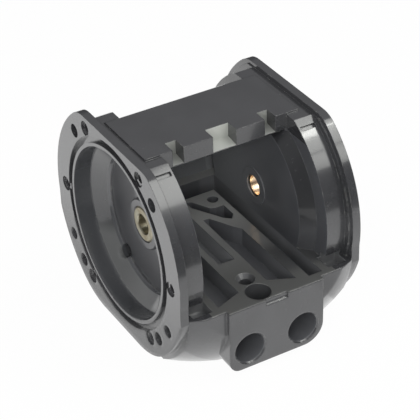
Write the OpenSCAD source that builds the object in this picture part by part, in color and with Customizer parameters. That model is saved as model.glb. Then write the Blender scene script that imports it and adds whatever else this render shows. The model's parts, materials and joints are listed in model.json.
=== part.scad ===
// Body of a pneumatic milking pulsator: one moulded housing with two rod bushes pressed into its end walls.
// X runs along the rod, the valve window looks to -Y and Z is up, with zero on the rod axis half way along the body.

/* [Body] */
// length from the front flange face to the rear flange face
body_l = 72.5; // [70:0.1:76]
// diameter of the two end flanges
flange_d = 90; // [89:0.5:94]
// thickness of each end flange
flange_t = 3.2; // [2.6:0.1:3.6]
// height of the flat on top of the flanges above the rod axis
flange_top = 37.8; // [37.4:0.1:39]
// radius of the two corners beside that flat
flange_corner = 11; // [8:0.5:14]
// half width of the flanges at their lower shoulders
shoulder_y = 44.6; // [44.3:0.1:44.8]
// radius of the lower corners of the flanges
base_corner = 27; // [20:0.5:30]
// depth of the flat base below the rod axis
base_z = 40.5; // [39:0.1:41.5]
// largest diameter of the bulging lower body
belly_d = 114; // [108:1:118]
// diameter of the lower body at its two ends
body_end_d = 93.2; // [92:0.2:95]
// height of the axis of the lower body above the rod axis
body_rise = 1.2; // [0.6:0.1:2]
// largest diameter of the barrel that rounds off the sides of the lower body
side_d = 103.4; // [101:0.2:105]
// diameter of that barrel at its two ends
side_end_d = 87.4; // [86.8:0.2:88]
// depth of the axis of that barrel below the rod axis
side_drop = 5.4; // [5:0.1:6]
// half width of the lower body across its side flats
side_y = 46.8; // [46.4:0.1:47.6]
// depth of the valve deck below the rod axis
deck_z = 11; // [10:0.1:12]

/* [End chambers] */
// outer diameter of the ring wall round each end chamber
ring_d = 82; // [81:0.5:84]
// distance from the flange face to the end of the ring wall
ring_l = 11.3; // [10.5:0.1:12]
// height of the flat on top of the ring walls above the rod axis
ring_top = 36.1; // [35.4:0.1:36.3]
// diameter of the raised seat where the ring wall meets the flange
step_d = 86; // [85:0.5:87]
// height of that raised seat behind the flange
step_t = 0.5; // [0.3:0.1:0.8]
// bore of each end chamber
bowl_d = 64; // [62:0.5:64.5]
// depth of the straight wall of the end chamber
bowl_wall = 6.7; // [6:0.1:7.2]
// step in radius at the end of the straight wall
bowl_step = 0.4; // [0.2:0.1:0.8]
// small diameter of the sloping band below the straight wall
band_d = 53.2; // [50:0.2:55]
// length of the sloping band along the rod
band_l = 3.9; // [3.4:0.1:4.2]
// diameter of the end chamber floor
floor_d = 51.6; // [48:0.2:52]
// depth of the end chamber floor below the flange face
floor_x = 12; // [11.6:0.1:12.4]
// height and width of the fine step round the chamber floor
floor_step = 0.4; // [0.2:0.1:0.6]
// inner diameter of the diaphragm bead groove
groove_in_d = 66.6; // [66:0.2:67.4]
// outer diameter of the diaphragm bead groove
groove_out_d = 71.8; // [71:0.2:72.4]
// depth of the diaphragm bead groove
groove_t = 2; // [1.5:0.1:2.4]
// diameter of the hub round the rod bush
hub_d = 19.4; // [18:0.2:22]
// height of the hub above the chamber floor
hub_h = 1.3; // [0.8:0.1:1.8]
// diameter of the end wall where it stands into the valve chamber
disc_d = 60; // [56:0.5:64]
// width of the cone between the end wall and the ring wall
disc_cone = 4.5; // [3:0.1:5]
// distance from the flange face to the inner side of the end wall
disc_x = 15.6; // [15.2:0.1:16]
// diameter of the low boss round the rod on the inner side of the end wall
boss_d = 14.8; // [14.4:0.1:18]
// height of that boss
boss_h = 0.4; // [0.2:0.1:0.8]
// diameter of the air transfer hole in the chamber floor
transfer_d = 5.2; // [4:0.1:6]
// depth of the air transfer hole below the chamber floor
transfer_l = 8; // [4:0.5:12]
// angle of the air transfer hole round the rod, from the window side
transfer_a = 233.5; // [225:0.5:240]

/* [Flange holes] */
// circle of the six cover screw holes
screw_pcd = 76.8; // [76.4:0.1:77.4]
// pilot hole of the cover screws
screw_d = 3.2; // [2.5:0.1:3.6]
// depth of the pilot holes
screw_l = 9; // [6:0.5:10]
// diameter of the shallow counterbore round each pilot hole
screw_cb_d = 5.6; // [5:0.1:6]
// depth of the shallow counterbore
screw_cb_t = 0.8; // [0.5:0.1:1.2]
// offset of the lower two cover screws from even spacing, in degrees
screw_key = 4.5; // [0:0.5:6]
// circle of the four locating holes
dowel_pcd = 79; // [78.6:0.1:79.6]
// diameter of the locating holes
dowel_d = 5.1; // [4.6:0.1:5.4]
// depth of the locating holes
dowel_l = 2.4; // [2:0.1:2.5]
// circle of the two spare holes
spare_pcd = 80.8; // [80.4:0.1:81.2]
// diameter of the spare holes
spare_d = 4.7; // [4:0.1:5]
// depth of the spare holes
spare_l = 2.4; // [2:0.1:2.5]

/* [Top plate] */
// height of the top plate above the rod axis
plate_z = 36.8; // [36.4:0.1:37.2]
// thickness of the top plate at its notched edge
plate_t = 6.6; // [5.8:0.1:7]
// distance of the notched edge from the rod axis
plate_near = 14.8; // [14:0.1:15.5]
// distance of the far edge from the rod axis
plate_far = 13.5; // [12.8:0.1:14]
// width of the slope along the far edge
slope_w = 1.2; // [0.8:0.1:1.6]
// height of the slope along the far edge
slope_h = 0.7; // [0.5:0.1:0.9]
// distance of the front end of the plate from the middle of the body
plate_front = 31; // [30:0.1:31.6]
// distance of the rear end of the plate from the middle of the body
plate_rear = 29.8; // [29:0.1:31.6]
// depth of the notches into the plate
notch_y = 5.5; // [4:0.1:6.5]
// thickness of the plate left at the back of the notches
notch_floor = 1.2; // [0.8:0.1:1.6]
// thickness of the plate left at the mouth of the notches
notch_lip = 0.4; // [0.3:0.1:0.7]
// width of the middle notch
notch_mid_w = 9.3; // [8:0.1:11]
// width of the two outer notches
notch_side_w = 4.3; // [3.5:0.1:5]
// distance of the outer notches from the middle of the body
notch_side_x = 18.3; // [17.5:0.1:19]

/* [Window clip slots] */
// angle of the upper clip slot above the window side
clip_a = 56; // [54:0.5:57]
// width of the upper clip slot
clip_w = 1.6; // [1.2:0.1:1.9]
// depth of the upper clip slot into the ring wall
clip_t = 0.9; // [0.6:0.1:1.4]
// start of the upper clip slot behind the flange
clip_x = 1.5; // [1:0.1:2]
// length of the upper clip slot along the rod
clip_l = 5.8; // [5:0.1:6.2]
// start of the lower clip pocket behind the flange
pocket_x = 2; // [1.5:0.1:3]
// length of the lower clip pocket along the rod
pocket_l = 7.6; // [6:0.1:8]
// near edge of the lower clip pocket from the rod axis
pocket_near = 44; // [43:0.1:44.2]
// width of the lower clip pocket
pocket_w = 7; // [6:0.1:8]
// depth of the lower clip pocket below the deck
pocket_t = 4; // [3:0.1:4.4]
// gap between the end of the ring wall and the deck
pocket_gap = 2; // [1.5:0.1:2.5]

/* [Valve seat] */
// depth of the slots and wells below the deck
seat_t = 7.3; // [6:0.1:8]
// left edge of the seat from the middle of the body
seat_left = 10.4; // [10:0.1:11]
// right edge of the seat from the middle of the body
seat_right = 15.2; // [14.8:0.1:15.8]
// far edge of the seat from the rod axis
seat_far = 20; // [19.6:0.1:21]
// near edge of the seat from the rod axis
seat_near = 39.5; // [39:0.1:40]
// near edge of the right well from the rod axis
well_near = 44.4; // [43:0.1:45]
// far edge of the wells from the rod axis
well_far = 29; // [27:0.5:29.5]
// diameter of the two valve plate screw holes
seat_screw_d = 4.2; // [3.5:0.1:4.6]
// depth of the valve plate screw holes
seat_screw_l = 9; // [6:0.5:10]
// countersink diameter of the near screw hole
seat_csk_d = 7; // [6:0.1:7.4]
// countersink depth of the near screw hole
seat_csk_t = 1.6; // [1:0.1:2]
// diameter of the round port by the lip
lip_port_d = 9.2; // [8:0.1:9.4]
// depth of the round port by the lip
lip_port_l = 10; // [6:0.5:10.5]

/* [Port block] */
// distance of the port block face from the rod axis
block_y = 48.6; // [48.4:0.1:51]
// width of the port block along the rod
block_w = 38.2; // [37:0.1:40]
// depth of the port block bottom below the rod axis
block_z = 36.9; // [36.2:0.1:38]
// offset of the port block and its ports from the middle of the body
block_x = -0.5; // [-0.8:0.1:0.8]
// radius of the front lower corner of the port block
block_r_front = 4.2; // [4:0.1:9]
// radius of the rear lower corner of the port block
block_r_rear = 7.8; // [4:0.1:9]
// distance between the two hose ports
port_pitch = 21.6; // [20:0.1:22]
// depth of the hose ports below the rod axis
port_z = 29.1; // [29:0.1:29.5]
// bore of the hose ports
port_d = 11.6; // [11:0.1:12]
// depth of the hose port bores
port_l = 56; // [54:0.5:60]
// chamfer at the mouth of each hose port
port_ch = 0.6; // [0.3:0.1:1]
// passage from each hose port up to its slot in the seat
passage_d = 4; // [3:0.1:4.2]
// width of the shallow recess in the top edge of the port block
lip_w = 9; // [7:0.1:10]
// depth of that recess below the deck
lip_t = 2; // [1:0.1:2.5]
// reach of that recess back from the block face
lip_y = 0.8; // [0.5:0.1:1]

/* [Valve chamber] */
// outer diameter of the closed back wall
back_d = 75.6; // [75:0.2:76.4]
// inner diameter of the valve chamber
chamber_d = 70; // [68:0.5:71]

/* [Rod bushes] */
// outer diameter of each bush
bush_d = 13.2; // [12:0.1:14]
// rod bore of each bush
bush_bore = 7.4; // [6:0.1:8]
// press fit between bush and housing, taken as size for size
bush_fit = 0; // [0:0.01:0.02]
// chamfer at the bush ends and at the mouth of its seat
bush_ch = 0.4; // [0.2:0.1:0.6]
// thickness of the rim of the end wall behind each bush
rim_t = 0.9; // [0.7:0.1:1.4]
// opening in that rim
rim_d = 8.6; // [8.4:0.1:10]

/* [Hidden] */
$fn = 96;
over = 1;
edge_ch = 0.5;
half_l = body_l / 2;
inner_l = half_l - flange_t;
flange_r = flange_d / 2;
ring_r = ring_d / 2;
shoulder_z = sqrt(flange_r * flange_r - shoulder_y * shoulder_y);
hub_x = floor_x - hub_h;
boss_x = disc_x + boss_h;
rim_x = boss_x - rim_t;
seat_hole_r = bush_d / 2 + bush_fit;
window_x = half_l - ring_l;
well_x = half_l - disc_x;
well_rake = 3.5;
seat_floor = -deck_z - seat_t;
plastic = [0.11, 0.11, 0.12];
brass = [0.78, 0.62, 0.32];

// angles of the flange holes round the rod, counted up from the window side
screw_angles = [0, 60, 120, 180, 240 - screw_key, 300 + screw_key];
dowel_angles = [45, 135, 225, 315];
spare_angles = [210, 330];

// outlines of the slots in the valve seat, measured from the middle of the body and the rod axis
centre_slot = [[1.5, 4.5], [3.9, 4.5], [8.6, -4.4], [10.7, -7.6], [10.8, -43], [2.4, -39], [1.5, -38.4]];
cross_slot = [[1.9, 18], [4, 17], [7.6, 10.2], [9.5, 9.2], [13, 9.2], [13, 2.4], [11, 0], [8.6, 2.2], [1.9, 14]];
left_slot_x = -7.8;
left_slot_w = 6.5;
left_slot_far = 8;
left_slot_near = -14;
left_slot_ramp = -22;
near_screw = [-4.3, -34];
far_screw = [11.5, 14.6];
lip_port = [-4.5, -42.6];
left_passage = [-5.8, -6];
right_passage = [10.8, 4];
lip_x = -5;

// lays a flat outline drawn in Y and Z along X
module along_x(x, l)
  translate([x, 0, 0])
    rotate([90, 0, 90])
      linear_extrude(l)
        children();

// turns a profile of radius and distance round the rod axis
module turned()
  rotate([90, 0, 90])
    rotate_extrude()
      children();

// repeats an end feature at the front and mirrored at the rear
module both_ends() {
  at_front()
    children();
  mirror([1, 0, 0])
    at_front()
      children();
}

// carries a feature measured from a flange face to the front end
module at_front()
  translate([-half_l, 0, 0])
    children();

// carries a feature to an angle round the rod, counted up from the window side
module at_angle(a, r)
  rotate([-a, 0, 0])
    translate([0, -r, 0])
      children();

// hole drilled into a flange face
module face_hole(a, pcd, d, l)
  at_angle(a, pcd / 2)
    translate([-over, 0, 0])
      rotate([0, 90, 0])
        cylinder(d = d, h = l + over);

// hole drilled down from the deck
module deck_hole(p, d, l)
  translate([p[0], p[1], -deck_z - l])
    cylinder(d = d, h = l + over);

// round outline with a flat on top and a flat base
module flatted(r, top)
  intersection() {
    circle(r);
    translate([-r, -base_z])
      square([2 * r, base_z + top]);
  }

// round outline with a flat on top and rounded corners beside it
module flat_disc(r, top, corner) {
  reach = r - corner;
  corner_z = top - corner;
  corner_y = sqrt(reach * reach - corner_z * corner_z);
  intersection() {
    circle(r);
    union() {
      translate([-r, -r])
        square([2 * r, r]);
      translate([-corner_y, -over])
        square([2 * corner_y, top + over]);
      for (s = [0, 1])
        mirror([s, 0])
          polygon([[0, -over], [0, 0], [corner_y, corner_z] * 2 * r / reach, [2 * r, 0], [2 * r, -over]]);
    }
  }
  for (s = [-1, 1])
    translate([s * corner_y, corner_z])
      circle(corner);
}

// outline of a flange: round above, with shoulders and a flat base below
module flange_outline() {
  intersection() {
    flat_disc(flange_r, flange_top, flange_corner);
    translate([-flange_r, -shoulder_z])
      square([flange_d, shoulder_z + flange_r]);
  }
  intersection() {
    translate([0, body_rise])
      mirror([0, 1])
        flat_disc(body_end_d / 2, base_z + body_rise, base_corner);
    translate([-shoulder_y, -body_end_d])
      square([2 * shoulder_y, body_end_d]);
  }
}

// flange, ring wall and end wall of one end, before the chamber is cut
module end_shell() {
  along_x(0, flange_t)
    flange_outline();
  along_x(0, flange_t + step_t)
    flatted(step_d / 2, ring_top);
  along_x(0, ring_l)
    flatted(ring_r, ring_top);
  turned()
    polygon([
      [0, 0],
      [disc_d / 2 + disc_cone, 0],
      [disc_d / 2 + disc_cone, ring_l],
      [disc_d / 2, disc_x],
      [boss_d / 2, disc_x],
      [boss_d / 2, boss_x],
      [0, boss_x]
    ]);
}

// diaphragm chamber with its straight wall, sloping band, floor and hub
module end_bowl()
  turned()
    polygon([
      [0, -over],
      [bowl_d / 2, -over],
      [bowl_d / 2, bowl_wall],
      [bowl_d / 2 - bowl_step, bowl_wall],
      [band_d / 2, bowl_wall + band_l],
      [floor_d / 2, floor_x - floor_step],
      [floor_d / 2 - floor_step, floor_x - floor_step],
      [floor_d / 2 - floor_step, floor_x],
      [hub_d / 2, floor_x],
      [hub_d / 2, hub_x + edge_ch],
      [hub_d / 2 - edge_ch, hub_x],
      [0, hub_x]
    ]);

// groove that takes the bead of the diaphragm
module bead_groove()
  turned()
    translate([groove_in_d / 2, -over])
      square([(groove_out_d - groove_in_d) / 2, groove_t + over]);

// seat of the rod bush in the end wall, open to the valve chamber inside its rim
module bush_seat()
  turned()
    polygon([
      [0, hub_x - over],
      [seat_hole_r + bush_ch, hub_x - over],
      [seat_hole_r + bush_ch, hub_x],
      [seat_hole_r, hub_x + bush_ch],
      [seat_hole_r, rim_x],
      [rim_d / 2, rim_x],
      [rim_d / 2, boss_x + over],
      [0, boss_x + over]
    ]);

// cover screw holes, locating holes and spare holes of one flange
module flange_holes() {
  for (a = screw_angles) {
    face_hole(a, screw_pcd, screw_d, screw_l);
    face_hole(a, screw_pcd, screw_cb_d, screw_cb_t);
  }
  for (a = dowel_angles)
    face_hole(a, dowel_pcd, dowel_d, dowel_l);
  for (a = spare_angles)
    face_hole(a, spare_pcd, spare_d, spare_l);
}

// slot and pocket that hold the clips of the window cover
module clip_cuts() {
  at_angle(clip_a, ring_r)
    translate([flange_t + clip_x, -over, -clip_w / 2])
      cube([clip_l, clip_t + over, clip_w]);
  translate([flange_t + pocket_x, -pocket_near, -deck_z - pocket_t])
    cube([pocket_l, pocket_w, pocket_t + pocket_gap]);
}

// everything cut into one end
module end_cuts() {
  end_bowl();
  bead_groove();
  bush_seat();
  flange_holes();
  clip_cuts();
  face_hole(transfer_a, floor_d, transfer_d, floor_x + transfer_l);
}

// barrel about an axis beside the rod, widest half way along the body
module barrel(z, mid_d, end_d) {
  sag = (mid_d - end_d) / 2;
  arc = (half_l * half_l + sag * sag) / (2 * sag);
  translate([0, 0, z])
    turned()
      intersection() {
        translate([mid_d / 2 - arc, 0])
          circle(arc, $fn = 256);
        translate([0, -half_l])
          square([mid_d / 2 + over, body_l]);
      }
}

// bulging lower body: two barrels, one round the belly and one round the sides, cut by side flats, base and deck
module lower_body()
  intersection() {
    barrel(body_rise, belly_d, body_end_d);
    barrel(-side_drop, side_d, side_end_d);
    translate([-inner_l, -side_y, -base_z])
      cube([2 * inner_l, 2 * side_y, base_z - deck_z]);
  }

// closed wall behind the valve chamber
module back_wall()
  along_x(-window_x, 2 * window_x)
    intersection() {
      circle(back_d / 2);
      translate([0, -deck_z - over])
        square([back_d / 2, deck_z + over + plate_z]);
    }

// top plate with its notched edge over the window
module top_plate()
  difference() {
    along_x(-plate_front, plate_front + plate_rear)
      polygon([
        [-plate_near, plate_z - plate_t],
        [plate_far + slope_w, plate_z - plate_t],
        [plate_far + slope_w, plate_z - slope_h],
        [plate_far, plate_z],
        [-plate_near, plate_z]
      ]);
    notch(0, notch_mid_w);
    for (s = [-1, 1])
      notch(s * notch_side_x, notch_side_w);
  }

// one notch of the plate edge, its floor falling towards the mouth
module notch(x, w)
  along_x(x - w / 2, w)
    translate([-plate_near, plate_z - plate_t])
      polygon([
        [-over, notch_lip],
        [0, notch_lip],
        [notch_y, notch_floor],
        [notch_y, plate_t + over],
        [-over, plate_t + over]
      ]);

// block that carries the two hose ports
module port_block()
  translate([block_x, 0, 0])
    rotate([90, 0, 0])
      linear_extrude(block_y)
        union() {
          block_half(block_r_rear);
          mirror([1, 0])
            block_half(block_r_front);
        }

// half of the port block outline with one rounded lower corner
module block_half(r) {
  translate([0, -block_z + r])
    square([block_w / 2, block_z - r - deck_z]);
  translate([0, -block_z])
    square([block_w / 2 - r, block_z - deck_z]);
  translate([block_w / 2 - r, -block_z + r])
    circle(r);
}

// valve chamber, open to the window side
module chamber()
  along_x(-window_x, 2 * window_x)
    intersection() {
      union() {
        circle(chamber_d / 2);
        translate([-block_y - over, -chamber_d])
          square([block_y + over, 2 * chamber_d]);
      }
      translate([-block_y - over, -deck_z])
        square([2 * block_y, deck_z + plate_z - plate_t]);
    }

// wells left and right of the valve seat and behind it
module seat_wells()
  translate([0, 0, seat_floor])
    linear_extrude(seat_t + over)
      polygon([
        [-well_x, well_far],
        [-well_x, -seat_near - well_rake],
        [-seat_left, -seat_near],
        [-seat_left, seat_far],
        [seat_right, seat_far],
        [seat_right, -well_near],
        [well_x, -well_near],
        [well_x, well_far]
      ]);

// slots, screw holes and round port in the valve seat
module seat_cuts() {
  translate([0, 0, seat_floor])
    linear_extrude(seat_t + over) {
      polygon(centre_slot);
      polygon(cross_slot);
    }
  along_x(left_slot_x, left_slot_w)
    polygon([
      [left_slot_far, -deck_z + over],
      [left_slot_far, seat_floor],
      [left_slot_near, seat_floor],
      [left_slot_ramp, -deck_z],
      [left_slot_ramp, -deck_z + over]
    ]);
  deck_hole(near_screw, seat_screw_d, seat_screw_l);
  deck_hole(far_screw, seat_screw_d, seat_screw_l);
  deck_hole(lip_port, lip_port_d, lip_port_l);
  translate([near_screw[0], near_screw[1], -deck_z - seat_csk_t])
    cylinder(d1 = seat_screw_d, d2 = seat_csk_d, h = seat_csk_t);
  translate([lip_x, -block_y - over, -deck_z - lip_t])
    cube([lip_w, lip_y + over, lip_t + over]);
}

// hose port bore with its chamfered mouth
module hose_port()
  rotate([-90, 0, 0]) {
    cylinder(d = port_d, h = port_l);
    cylinder(d1 = port_d + 2 * port_ch, d2 = port_d, h = port_ch);
  }

// two hose ports and the passages up to their slots
module port_cuts() {
  for (s = [-1, 1])
    translate([block_x + s * port_pitch / 2, -block_y, -port_z])
      hose_port();
  for (p = [left_passage, right_passage])
    translate([p[0], p[1], -port_z])
      cylinder(d = passage_d, h = port_z + seat_floor + over);
}

// moulded housing in one piece
module housing()
  color(plastic)
    difference() {
      union() {
        difference() {
          union() {
            lower_body();
            back_wall();
            top_plate();
            port_block();
          }
          chamber();
          seat_wells();
        }
        both_ends()
          end_shell();
      }
      both_ends()
        end_cuts();
      seat_cuts();
      port_cuts();
    }

// rod bush pressed into an end wall
module rod_bush()
  color(brass)
    turned()
      polygon([
        [bush_bore / 2 + bush_ch, hub_x],
        [bush_d / 2 - bush_ch, hub_x],
        [bush_d / 2, hub_x + bush_ch],
        [bush_d / 2, rim_x],
        [bush_bore / 2, rim_x],
        [bush_bore / 2, hub_x + bush_ch]
      ]);

// bush of the front end wall
module front_bush()
  at_front()
    rod_bush();

// bush of the rear end wall, mirrored
module rear_bush()
  mirror([1, 0, 0])
    at_front()
      rod_bush();

housing();
front_bush();
rear_bush();
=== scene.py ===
import json
import math
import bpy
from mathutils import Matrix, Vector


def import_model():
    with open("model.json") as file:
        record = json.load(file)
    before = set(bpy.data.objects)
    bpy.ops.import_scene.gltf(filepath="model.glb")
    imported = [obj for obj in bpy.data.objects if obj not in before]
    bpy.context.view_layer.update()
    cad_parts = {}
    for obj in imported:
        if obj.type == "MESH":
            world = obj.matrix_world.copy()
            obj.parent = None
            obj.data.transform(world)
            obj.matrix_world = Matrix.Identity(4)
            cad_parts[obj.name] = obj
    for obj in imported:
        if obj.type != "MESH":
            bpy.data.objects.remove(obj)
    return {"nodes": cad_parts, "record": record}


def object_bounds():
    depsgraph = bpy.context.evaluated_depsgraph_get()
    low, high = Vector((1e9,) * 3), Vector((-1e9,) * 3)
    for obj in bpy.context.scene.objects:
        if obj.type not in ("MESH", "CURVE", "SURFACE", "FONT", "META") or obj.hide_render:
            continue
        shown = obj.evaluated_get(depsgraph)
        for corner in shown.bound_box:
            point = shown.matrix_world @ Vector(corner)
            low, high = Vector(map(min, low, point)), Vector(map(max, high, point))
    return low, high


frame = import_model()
from types import SimpleNamespace
import bpy
from mathutils import Matrix, Vector

MM = 0.001
WHITE = (1.0, 1.0, 1.0, 1)
cad_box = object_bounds()
mounts = {mount["name"]: mount for mount in frame["record"]["mounts"]}
scene = bpy.context.scene
scene.view_settings.view_transform = "Standard"


# camera at the photograph's viewing angle: angles in degrees, lengths in mm, shifts in picture widths
AZIMUTH = 29.98
ELEVATION = 34.35
ROLL = -1.55
TARGET = Vector((3.5, 0.0, -6.49))
DISTANCE = 624.1
NEAREST = 10.0
LENS = 148.09
SENSOR = 36.0
SHIFT_X = -0.0096
SHIFT_Y = 0.0108


def camera_place():
    azimuth, elevation, roll = (math.radians(angle) for angle in (AZIMUTH, ELEVATION, ROLL))
    level = math.cos(elevation)
    ahead = Vector((math.sin(azimuth) * level, math.cos(azimuth) * level, -math.sin(elevation)))
    level_right = ahead.cross(Vector((0, 0, 1))).normalized()
    level_up = level_right.cross(ahead)
    right = level_right * math.cos(roll) + level_up * math.sin(roll)
    up = level_up * math.cos(roll) - level_right * math.sin(roll)
    place = Matrix((right, up, -ahead)).transposed().to_4x4()
    place.translation = (TARGET - ahead * DISTANCE) * MM
    return place


def camera():
    data = bpy.data.cameras.new("camera")
    data.sensor_fit = "HORIZONTAL"
    data.sensor_width = SENSOR
    data.lens = LENS
    data.shift_x = SHIFT_X
    data.shift_y = SHIFT_Y
    data.clip_start = NEAREST * MM
    placed = bpy.data.objects.new("camera", data)
    scene.collection.objects.link(placed)
    placed.matrix_world = camera_place()
    scene.camera = placed


camera()


# builds the nodes of one material or of the world; rise, fall, band and disc take spans in mm
class Nodes:
    BAND_SOFT = 0.05

    def __init__(self, tree):
        self.tree = tree
        tree.nodes.clear()

    def new(self, kind, inputs=None, **settings):
        node = self.tree.nodes.new(kind)
        for name, value in settings.items():
            setattr(node, name, value)
        for socket, value in (inputs or {}).items():
            self.put(node.inputs[socket], value)
        return node

    def put(self, socket, value):
        if isinstance(value, bpy.types.NodeSocket):
            self.tree.links.new(value, socket)
        else:
            socket.default_value = value

    def math(self, operation, first, second=0.0, clamp=False):
        node = self.new("ShaderNodeMath", {0: first, 1: second}, operation=operation, use_clamp=clamp)
        return node.outputs[0]

    def chain(self, operation, values):
        result = values[0]
        for value in values[1:]:
            result = self.math(operation, result, value)
        return result

    def times(self, *values):
        return self.chain("MULTIPLY", values)

    def total(self, *values):
        return self.chain("ADD", values)

    def most(self, *values):
        return self.chain("MAXIMUM", values)

    def without(self, value):
        return self.math("SUBTRACT", 1.0, value)

    def distance(self, first, second):
        squares = self.total(self.math("POWER", first, 2.0), self.math("POWER", second, 2.0))
        return self.math("SQRT", squares)

    def ramp(self, value, low, high, to_low=0.0, to_high=1.0):
        ends = {"From Min": low, "From Max": high, "To Min": to_low, "To Max": to_high}
        node = self.new("ShaderNodeMapRange", {"Value": value, **ends}, interpolation_type="SMOOTHSTEP")
        return node.outputs["Result"]

    def rise(self, value, span):
        return self.ramp(value, span[0] * MM, span[1] * MM)

    def fall(self, value, span):
        return self.ramp(value, span[0] * MM, span[1] * MM, 1.0, 0.0)

    def band(self, value, span):
        low, high = span
        after = self.rise(value, (low - self.BAND_SOFT, low + self.BAND_SOFT))
        before = self.fall(value, (high - self.BAND_SOFT, high + self.BAND_SOFT))
        return self.times(after, before)

    def disc(self, first, second, middle, fade):
        across = self.math("SUBTRACT", first, middle[0])
        along = self.math("SUBTRACT", second, middle[1])
        return self.fall(self.distance(across, along), fade)

    def mix(self, share, first, second):
        node = self.new("ShaderNodeMix", {0: share, 6: first, 7: second}, data_type="RGBA")
        return node.outputs[2]

    def noise(self, spot, scale, detail, rough=0.5):
        settings = {"Vector": spot, "Scale": scale, "Detail": detail, "Roughness": rough}
        return self.new("ShaderNodeTexNoise", settings).outputs["Fac"]

    def patches(self, spot, low, high, **texture):
        return self.ramp(self.noise(spot, **texture), low, high)

    def split(self, vector):
        return self.new("ShaderNodeSeparateXYZ", {0: vector}).outputs


def material(name):
    made = bpy.data.materials.new(name)
    made.use_nodes = True
    return made, Nodes(made.node_tree)


# regions of the housing, as spans in mm: x along the rod, y away from the window, z up,
# AWAY from the middle either way along the rod, RADIUS from the rod
HALF_LENGTH = cad_box[1][0] / MM
DECK_LEVEL = -11.0
NOTCH_Y = (-14.7, -9.1)
NOTCH_Z = (30.35, 36.7)
MIDDLE_NOTCH_X = (-4.6, 4.6)
OUTER_NOTCH_AWAY = (16.2, 20.4)
VALVE_AWAY = (24.97, 25.05)
VALVE_MOUTH_Y = (-46.0, -44.0)
VALVE_Z = (-19.0, 30.1)
BACK_SKIN_Y = (4.0, 6.0)
BACK_SKIN_RADIUS = (36.2, 36.6)
BACK_Y = (8.0, 20.0)
END_WALL_AWAY = (19.9, 20.1)
END_WALL_Y = (-20.0, 27.0)
CONE_AWAY = (20.74, 24.9)
CONE_Y = (4.0, 10.0)
CONE_Z = (-3.0, 5.0)
END_CHAMBER_AWAY = (21.4, 21.6)
END_CHAMBER_RADIUS = (27.9, 28.1)
BOWL_AWAY = (24.0, HALF_LENGTH - 0.05)
BOWL_RADIUS = (32.2, 32.4)
SLOPE_AWAY = (25.4, 29.6)
SLOPE_RADIUS = (26.65, 31.7)
SLOPE_Y = (-6.0, 14.0)
SLOPE_Z = (-18.0, -10.0)
BOWL_FLOOR_AWAY = (22.0, 26.5)
BOWL_FLOOR_RADIUS = (25.8, 26.2)
DECK_Z = (DECK_LEVEL - 0.2, DECK_LEVEL + 0.2)
DECK_NEAR_Y = (-36.0, -10.0)
DECK_FAR_Y = (-14.0, 10.0)
SHADE_X = (4.0, 10.0)
SHADE_Y = (-27.0, -17.0)
SHADE_MOUTH_Y = (-41.0, -36.0)
SLOT_Z = (DECK_LEVEL - 0.4, DECK_LEVEL - 0.1)
LEFT_SLOT_X = (-8.3, -1.0)
LEFT_SLOT_Y = (-22.5, 8.5)
FRONT_WELL_X = (-9.5, -9.0)
REAR_WELL_X = (13.0, 15.5)
HOLE_Z = (-21.2, DECK_LEVEL - 0.1)
POCKET_AWAY = (23.35, 31.1)
POCKET_Y = (-44.05, -36.9)
POCKET_Z = (-15.1, -9.0)
CREASE_AWAY = (19.8, 21.5)
CREASE_Z = (-13.5, -12.0)
BLOCK_Y = (-46.5, -45.5)

# radii of the masks round holes, and how far they fade, in mm
SEAT_SINK_R = 3.6
LIP_PORT_R = 4.7
HOLE_FADE = 0.1
HOSE_PORT_FADE = (0.05, 0.15)

# a face counts as facing up, or as a side wall, past this share of its normal
FACING_LIMIT = 0.5

# tones of the plastic, three of them with a second one where haze lies
OUTSIDE = (0.036, 0.0365, 0.040, 1)
OUTSIDE_HAZY = (0.046, 0.0465, 0.051, 1)
# painted light: the inside is paler than the outside, lifting the shade inside the housing and in the hose
# ports
PAINTED_LIT_INTERIOR = (0.088, 0.090, 0.100, 1)
PAINTED_LIT_INTERIOR_HAZY = (0.104, 0.106, 0.116, 1)
# painted light: the bowl walls and bowl floors of the end chambers are paler than the outside, lifting their
# shade
BOWL_WALL = (0.062, 0.064, 0.070, 1)
BOWL_FLOOR = (0.044, 0.045, 0.051, 1)
BOWL_FLOOR_HAZY = (0.053, 0.054, 0.060, 1)
# painted light and shade on the sloping bands: darker above, paler below, most of all near the window
SLOPE_UPPER = (0.032, 0.033, 0.037, 1)
SLOPE_FAR = (0.115, 0.117, 0.12, 1)
SLOPE_NEAR = (0.20, 0.202, 0.206, 1)
# painted light: the end walls of the valve chamber grow paler towards the back, where the top plate shades
# them
END_WALL_NEAR = (0.076, 0.078, 0.087, 1)
END_WALL_FAR = (0.26, 0.265, 0.285, 1)
# painted light: the back wall of the valve chamber is paler, lifting the shade under the top plate
BACK_WALL = (0.19, 0.194, 0.208, 1)
# painted light and shade on the cones beyond the end walls: paler below, darker above
CONE_LOWER = (0.06, 0.061, 0.067, 1)
CONE_UPPER = (0.016, 0.0165, 0.019, 1)
# painted light in the slots and wells below the deck; SHADED_WELL is painted shade in the near rear corner
SLOT = (0.105, 0.107, 0.118, 1)
LEFT_SLOT = (0.26, 0.264, 0.28, 1)
FRONT_WELL = (0.11, 0.112, 0.121, 1)
REAR_WELL = (0.165, 0.168, 0.18, 1)
SHADED_WELL = (0.115, 0.117, 0.126, 1)
# painted light and shade on the valve deck: paler towards the back, DECK_SHADED is painted shadow in the
# near rear corner
DECK_NEAR = (0.08, 0.081, 0.08, 1)
DECK_MIDDLE = (0.16, 0.161, 0.162, 1)
DECK_FAR = (0.36, 0.362, 0.36, 1)
DECK_SHADED = (0.05, 0.051, 0.053, 1)
POCKET = (0.115, 0.117, 0.123, 1)
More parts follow.
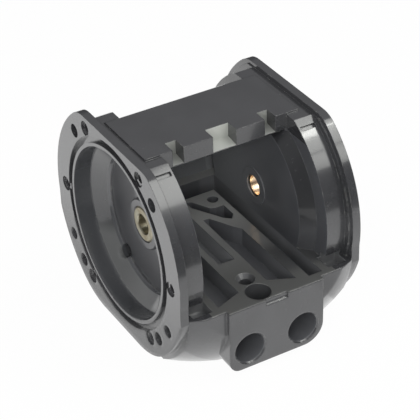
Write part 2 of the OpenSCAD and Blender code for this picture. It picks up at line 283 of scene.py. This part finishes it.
# painted shade: the countersink and the lip port are darker
HOLE = (0.055, 0.056, 0.06, 1)
SPECK = (0.12, 0.12, 0.122, 1)
SCUFF = (0.26, 0.26, 0.25, 1)
NOTCH_FACE = (0.44, 0.45, 0.425, 1)

# how strongly specks, scuffs and the faces of the outer notches show
SPECK_SHARE = 0.35
SCUFF_SHARE = 0.7
OUTER_NOTCH_SHARE = 0.6

# roughness of the glossy plastic, and what haze, notch faces and dull regions add to it
GLOSS_ROUGH = 0.16
HAZE_ROUGH = 0.05
NOTCH_ROUGH = 0.3
DULL_ROUGH = 0.25

# rounding of edges in the shading, in mm: all edges, what creases and the port block add, and scuffed edges
EDGE_ROUND = 0.35
CREASE_ROUND = 2.0
BLOCK_ROUND = 0.9
SCUFF_ROUND = 0.3

# cosine of the turn at an edge where scuffs show in full, and where they end
SCUFF_TURN = (0.90, 0.99)


# where a point of the housing lies and which way it faces
def places(nodes):
    spot = nodes.new("ShaderNodeTexCoord").outputs["Object"]
    normal = nodes.new("ShaderNodeNewGeometry").outputs["True Normal"]
    x, y, z = nodes.split(spot)
    return SimpleNamespace(spot=spot, normal=normal, facing=nodes.split(normal), x=x, y=y, z=z,
                           away=nodes.math("ABSOLUTE", x), radius=nodes.distance(y, z))


# faces of the three notches in the top plate, apart from their side walls
def notch_faces(nodes, at):
    outer = nodes.times(nodes.band(at.away, OUTER_NOTCH_AWAY), OUTER_NOTCH_SHARE)
    along = nodes.total(nodes.band(at.x, MIDDLE_NOTCH_X), outer)
    not_side = nodes.math("LESS_THAN", nodes.math("ABSOLUTE", at.facing[0]), FACING_LIMIT)
    return nodes.times(nodes.band(at.y, NOTCH_Y), nodes.band(at.z, NOTCH_Z), along, not_side)


# inside of the valve chamber, without the end chambers and the outside of the back wall
def valve_chamber(nodes, at):
    inside = nodes.times(nodes.band(at.z, VALVE_Z), nodes.fall(at.away, VALVE_AWAY),
                         nodes.rise(at.y, VALVE_MOUTH_Y))
    back_skin = nodes.times(nodes.rise(at.y, BACK_SKIN_Y), nodes.rise(at.radius, BACK_SKIN_RADIUS))
    end_chamber = nodes.times(nodes.rise(at.away, END_CHAMBER_AWAY),
                              nodes.fall(at.radius, END_CHAMBER_RADIUS))
    return nodes.times(inside, nodes.without(nodes.most(back_skin, end_chamber)))


# bores of the two hose ports
def hose_ports(nodes, at):
    bores = []
    for name in ("left_port", "right_port"):
        x, _, z = mounts[name]["pos_m"]
        fade = [mounts[name]["dims"]["r_mm"] + past for past in HOSE_PORT_FADE]
        bores.append(nodes.disc(at.x, at.z, (x, z), fade))
    return nodes.most(*bores)


# countersunk screw hole and lip port in the near part of the deck, which are painted darker as shade
def deck_holes(nodes, at):
    holes = []
    for name, radius in (("near_seat_screw", SEAT_SINK_R), ("lip_port", LIP_PORT_R)):
        x, y, _ = mounts[name]["pos_m"]
        holes.append(nodes.disc(at.x, at.y, (x, y), (radius - HOLE_FADE, radius + HOLE_FADE)))
    return nodes.times(nodes.most(*holes), nodes.band(at.z, HOLE_Z))


# share of each region at a point, from 0 outside it to 1 inside it
def regions(nodes, at):
    valve = valve_chamber(nodes, at)
    upward = nodes.math("GREATER_THAN", at.facing[2], FACING_LIMIT)
    deck = nodes.times(nodes.band(at.z, DECK_Z), upward, nodes.fall(at.away, VALVE_AWAY))
    floors = nodes.times(nodes.fall(at.radius, BOWL_FLOOR_RADIUS), nodes.band(at.away, BOWL_FLOOR_AWAY))
    end_walls = nodes.times(valve, nodes.rise(at.away, END_WALL_AWAY))
    return SimpleNamespace(
        notches=notch_faces(nodes, at),
        inside=nodes.most(valve, deck, floors, hose_ports(nodes, at)),
        deck=deck,
        floors=floors,
        end_walls=end_walls,
        bowl=nodes.times(nodes.fall(at.radius, BOWL_RADIUS), nodes.band(at.away, BOWL_AWAY)),
        slope=nodes.times(nodes.band(at.radius, SLOPE_RADIUS), nodes.band(at.away, SLOPE_AWAY)),
        cone=nodes.times(valve, nodes.band(at.away, CONE_AWAY), nodes.fall(at.y, CONE_Y)),
        slots=nodes.times(valve, nodes.fall(at.z, SLOT_Z)),
        back=nodes.times(valve, nodes.rise(at.y, BACK_Y), nodes.without(end_walls)),
        pockets=nodes.times(nodes.band(at.away, POCKET_AWAY), nodes.band(at.y, POCKET_Y),
                            nodes.band(at.z, POCKET_Z)),
        holes=deck_holes(nodes, at),
        # near rear corner of the valve chamber, where painted shade darkens the deck and the wells
        shade=nodes.times(nodes.rise(at.x, SHADE_X), nodes.fall(at.y, SHADE_Y)),
    )


# scuffs in patches along the edges
def edge_scuffs(nodes, at):
    rounded = nodes.new("ShaderNodeBevel", {"Radius": SCUFF_ROUND * MM}, samples=6).outputs[0]
    normals = {0: rounded, 1: at.normal}
    turn = nodes.new("ShaderNodeVectorMath", normals, operation="DOT_PRODUCT").outputs["Value"]
    edges = nodes.ramp(turn, *SCUFF_TURN, 1.0, 0.0)
    return nodes.times(edges, nodes.patches(at.spot, 0.52, 0.62, scale=260.0, detail=3.0, rough=0.65))


# sloping bands of the end chambers: painted light makes them paler below, most of all towards the window,
# and painted shade darker above
def slope_painted_light_and_shade(nodes, at):
    lower = nodes.mix(nodes.rise(at.y, SLOPE_Y), SLOPE_NEAR, SLOPE_FAR)
    return nodes.mix(nodes.rise(at.z, SLOPE_Z), lower, SLOPE_UPPER)


# slots and wells below the deck: painted light makes them paler, and painted shade darker in the near rear
# corner
def slot_painted_light_and_shade(nodes, at, shade):
    left_slot = nodes.times(nodes.band(at.x, LEFT_SLOT_X), nodes.band(at.y, LEFT_SLOT_Y))
    tone = nodes.mix(nodes.rise(at.x, REAR_WELL_X), SLOT, REAR_WELL)
    tone = nodes.mix(shade, tone, SHADED_WELL)
    tone = nodes.mix(left_slot, tone, LEFT_SLOT)
    return nodes.mix(nodes.fall(at.x, FRONT_WELL_X), tone, FRONT_WELL)


# valve deck: painted light makes it paler towards the back, and a painted shadow makes it darker in the near
# rear corner
def deck_painted_light_and_shade(nodes, at, shade):
    tone = nodes.mix(nodes.rise(at.y, DECK_NEAR_Y), DECK_NEAR, DECK_MIDDLE)
    tone = nodes.mix(nodes.rise(at.y, DECK_FAR_Y), tone, DECK_FAR)
    return nodes.mix(nodes.times(shade, nodes.rise(at.y, SHADE_MOUTH_Y)), tone, DECK_SHADED)


# colour of the housing: each layer lies over those before it
def plastic_tone(nodes, at, region, haze):
    specks = nodes.patches(at.spot, 0.66, 0.74, scale=900.0, detail=2.0, rough=0.6)
    layers = (
        (region.bowl, BOWL_WALL),
        (region.slope, slope_painted_light_and_shade(nodes, at)),
        (region.inside, nodes.mix(haze, PAINTED_LIT_INTERIOR, PAINTED_LIT_INTERIOR_HAZY)),
        (region.floors, nodes.mix(haze, BOWL_FLOOR, BOWL_FLOOR_HAZY)),
        (region.end_walls, nodes.mix(nodes.rise(at.y, END_WALL_Y), END_WALL_NEAR, END_WALL_FAR)),
        (region.back, BACK_WALL),
        (region.slots, slot_painted_light_and_shade(nodes, at, region.shade)),
        (region.cone, nodes.mix(nodes.rise(at.z, CONE_Z), CONE_LOWER, CONE_UPPER)),
        (region.deck, deck_painted_light_and_shade(nodes, at, region.shade)),
        (region.pockets, POCKET),
        (region.holes, HOLE),
        (nodes.times(specks, SPECK_SHARE), SPECK),
        (nodes.times(edge_scuffs(nodes, at), SCUFF_SHARE), SCUFF),
        (region.notches, NOTCH_FACE),
    )
    tone = nodes.mix(haze, OUTSIDE, OUTSIDE_HAZY)
    for share, layer in layers:
        tone = nodes.mix(share, tone, layer)
    return tone


# shading normal: fine edge rounding, wider at the port block and in the creases beside it, faint orange peel
def plastic_normal(nodes, at):
    crease = nodes.times(nodes.fall(at.z, CREASE_Z), nodes.rise(at.away, CREASE_AWAY))
    block = nodes.fall(at.y, BLOCK_Y)
    rounding = nodes.total(nodes.times(crease, CREASE_ROUND), nodes.times(block, BLOCK_ROUND), EDGE_ROUND)
    rounded = nodes.new("ShaderNodeBevel", {"Radius": nodes.times(rounding, MM)}, samples=8).outputs[0]
    peel = nodes.noise(at.spot, scale=700.0, detail=3.0)
    bump = {"Strength": 0.05, "Distance": 0.2 * MM, "Height": peel, "Normal": rounded}
    return nodes.new("ShaderNodeBump", bump).outputs[0]


# black moulded plastic: duller inside, paler inside as painted light, pale faces in the notches, haze and
# scuffs from handling
def plastic():
    made, nodes = material("black_plastic")
    at = places(nodes)
    region = regions(nodes, at)
    haze = nodes.patches(at.spot, 0.35, 0.7, scale=60.0, detail=4.0)
    dull = nodes.most(region.inside, region.pockets)
    shader = nodes.new("ShaderNodeBsdfPrincipled", {
        "Base Color": plastic_tone(nodes, at, region, haze),
        "Roughness": nodes.total(nodes.times(haze, HAZE_ROUGH), GLOSS_ROUGH,
                                 nodes.times(region.notches, NOTCH_ROUGH), nodes.times(dull, DULL_ROUGH)),
        "IOR": 1.8,
        "Coat Weight": 0.7,
        "Coat Roughness": 0.09,
        "Coat IOR": 1.5,
        "Normal": plastic_normal(nodes, at),
    })
    nodes.new("ShaderNodeOutputMaterial", {"Surface": shader.outputs[0]})
    return made


# tones of the brass, with a second one where it is stained, and its roughness; the paler, warmer rear tones
# are painted light
DULL_BRASS = (0.53, 0.50, 0.39, 1)
DULL_BRASS_STAINED = (0.45, 0.395, 0.275, 1)
BRIGHT_BRASS = (1.0, 0.84, 0.62, 1)
BRIGHT_BRASS_STAINED = (1.0, 0.72, 0.50, 1)
DULL_BRASS_ROUGH = 0.36
BRIGHT_BRASS_ROUGH = 0.21
STAIN_ROUGH = 0.15

# edge rounding of the brass, and where along the rod dull turns to bright, in mm
BRASS_ROUND = 0.15
BRASS_CHANGE_X = (-5.0, 5.0)


# turned brass with fine tool lines, dull at the front and bright at the rear, where it is smoother and its
# paler, warmer colour is painted light
def brass():
    made, nodes = material("brass")
    spot = nodes.new("ShaderNodeTexCoord").outputs["Object"]
    tool = {"Vector": spot, "Scale": 900.0, "Distortion": 0.6, "Detail": 2.0}
    lines = nodes.new("ShaderNodeTexWave", tool, wave_type="RINGS", rings_direction="X").outputs["Fac"]
    stain = nodes.patches(spot, 0.35, 0.7, scale=350.0, detail=3.0)
    # share of the rear, where smoother brass and its painted light colour take over
    bright = nodes.rise(nodes.split(spot)[0], BRASS_CHANGE_X)
    polish = nodes.times(bright, BRIGHT_BRASS_ROUGH - DULL_BRASS_ROUGH)
    front = nodes.mix(stain, DULL_BRASS, DULL_BRASS_STAINED)
    rear = nodes.mix(stain, BRIGHT_BRASS, BRIGHT_BRASS_STAINED)
    rounded = nodes.new("ShaderNodeBevel", {"Radius": BRASS_ROUND * MM}, samples=6).outputs[0]
    bump = {"Strength": 0.12, "Distance": 0.1 * MM, "Height": lines, "Normal": rounded}
    shader = nodes.new("ShaderNodeBsdfPrincipled", {
        "Base Color": nodes.mix(bright, front, rear),
        "Metallic": 1.0,
        "Roughness": nodes.total(nodes.times(stain, STAIN_ROUGH), polish, DULL_BRASS_ROUGH),
        "Normal": nodes.new("ShaderNodeBump", bump).outputs[0],
    })
    nodes.new("ShaderNodeOutputMaterial", {"Surface": shader.outputs[0]})
    return made


def dress(node, finish):
    slots = frame["nodes"][node].data.materials
    slots.clear()
    slots.append(finish)


dress("housing", plastic())
brass_finish = brass()
for bush in ("front_bush", "rear_bush"):
    dress(bush, brass_finish)


# floor: its reach, where its glow in reflections ends and where that glow is dimmed, also by a painted
# shadow beside the part, in mm
FLOOR_REACH = 3000.0
MIRROR_END = (240.0, 380.0)
MIRROR_END_AHEAD = (155.0, 175.0)
DIM_AHEAD = (0.0, 90.0)
FOOT_BEGIN_AWAY = (36.0, 38.0)
FOOT_END_AWAY = (38.0, 62.0)

# how much x counts in the distance ahead of the part, towards the camera
AHEAD_SLANT = -0.55

# floor tones, the glow under the painted shadow beside the part, and the share of plain white that the
# camera sees
FLOOR_PAINT = (0.94, 0.94, 0.94, 1)
FLOOR_PAST_MIRROR = (0.08, 0.08, 0.08, 1)
DIM_GLOW = (0.8, 0.8, 0.8, 1)
PAINTED_SHADOW_GLOW = (0.68, 0.68, 0.68, 1)
CAMERA_WHITE = 0.97


# pale floor that keeps a faint shadow and glows in the part's reflections, with a painted shadow in that
# glow beside the part
def floor_finish():
    made, nodes = material("floor")
    ray = nodes.new("ShaderNodeLightPath").outputs
    spot = nodes.new("ShaderNodeTexCoord").outputs["Object"]
    far = nodes.new("ShaderNodeVectorMath", {0: spot}, operation="LENGTH").outputs["Value"]
    x, y, _ = nodes.split(spot)
    ahead = nodes.math("SUBTRACT", nodes.times(x, AHEAD_SLANT), y)
    away = nodes.math("ABSOLUTE", x)
    mirrored = nodes.most(ray["Is Glossy Ray"], ray["Is Transmission Ray"])
    past = nodes.most(nodes.rise(far, MIRROR_END), nodes.rise(ahead, MIRROR_END_AHEAD))
    mirror_glow = nodes.times(mirrored, nodes.without(past))
    glow_share = nodes.math("ADD", nodes.times(ray["Is Camera Ray"], CAMERA_WHITE), mirror_glow, clamp=True)
    paint = nodes.mix(nodes.times(mirrored, past), FLOOR_PAINT, FLOOR_PAST_MIRROR)
    # painted shadow: the floor's glow in reflections is dimmed beside the ends of the part
    painted_shadow = nodes.times(nodes.rise(away, FOOT_BEGIN_AWAY), nodes.fall(away, FOOT_END_AWAY))
    dimmed = nodes.mix(nodes.rise(ahead, DIM_AHEAD), WHITE, DIM_GLOW)
    dimmed = nodes.mix(painted_shadow, dimmed, PAINTED_SHADOW_GLOW)
    glow = nodes.mix(ray["Is Camera Ray"], dimmed, WHITE)
    painted = nodes.new("ShaderNodeBsdfDiffuse", {"Color": paint}).outputs[0]
    glowing = nodes.new("ShaderNodeEmission", {"Color": glow, "Strength": 1.0}).outputs[0]
    mixed = nodes.new("ShaderNodeMixShader", {0: glow_share, 1: painted, 2: glowing})
    nodes.new("ShaderNodeOutputMaterial", {"Surface": mixed.outputs[0]})
    return made


def floor():
    reach = FLOOR_REACH * MM
    level = cad_box[0][2]
    corners = [(x * reach, y * reach, level) for x, y in ((-1, -1), (1, -1), (1, 1), (-1, 1))]
    mesh = bpy.data.meshes.new("floor")
    mesh.from_pydata(corners, [], [(0, 1, 2, 3)])
    mesh.materials.append(floor_finish())
    o = bpy.data.objects.new("floor", mesh)
    scene.collection.objects.link(o)


floor()


# room tones in reflections, low and high, and the heights of a direction between which they change
ROOM_LOW = (0.10, 0.10, 0.105, 1)
ROOM_HIGH = (0.42, 0.42, 0.43, 1)
ROOM_CHANGE = (0.2, 0.75)


# white behind the object, a dim room in reflections
def world():
    made = bpy.data.worlds.new("world")
    made.use_nodes = True
    scene.world = made
    nodes = Nodes(made.node_tree)
    camera_ray = nodes.new("ShaderNodeLightPath").outputs["Is Camera Ray"]
    height = nodes.split(nodes.new("ShaderNodeTexCoord").outputs["Generated"])[2]
    room = nodes.mix(nodes.ramp(height, *ROOM_CHANGE), ROOM_LOW, ROOM_HIGH)
    dim = nodes.new("ShaderNodeBackground", {"Color": room, "Strength": 1.0}).outputs[0]
    white = nodes.new("ShaderNodeBackground", {"Color": WHITE, "Strength": 1.0}).outputs[0]
    mixed = nodes.new("ShaderNodeMixShader", {0: camera_ray, 1: dim, 2: white})
    nodes.new("ShaderNodeOutputWorld", {"Surface": mixed.outputs[0]})


world()

LAMP_COLOUR = (1.0, 1.01, 0.97)


# soft studio lamp that faces the part's origin: lengths in metres
def softbox(name, direction, distance, width, height, radiance, mirrored=True):
    data = bpy.data.lights.new(name, "AREA")
    data.shape = "RECTANGLE"
    data.size = width
    data.size_y = height
    data.energy = radiance * math.pi * width * height
    data.color = LAMP_COLOUR
    placed = bpy.data.objects.new(name, data)
    scene.collection.objects.link(placed)
    outward = Vector(direction).normalized()
    placed.location = outward * distance
    placed.rotation_euler = outward.to_track_quat("Z", "Y").to_euler()
    placed.visible_glossy = mirrored


softbox("key", (0.40, -0.45, 0.89), distance=1.2, width=0.95, height=0.62, radiance=2.5)
softbox("low", (0.521, -0.655, 0.548), distance=0.7, width=0.16, height=0.16, radiance=2.4)
softbox("glint", (0.505, -0.312, 0.80), distance=0.62, width=0.10, height=0.05, radiance=8.0)
softbox("fill", (-0.45, -0.74, 0.48), distance=1.1, width=0.7, height=0.7, radiance=4.2, mirrored=False)
softbox("side", (-0.90, -0.30, 0.35), distance=1.1, width=0.6, height=0.6, radiance=2.0, mirrored=False)
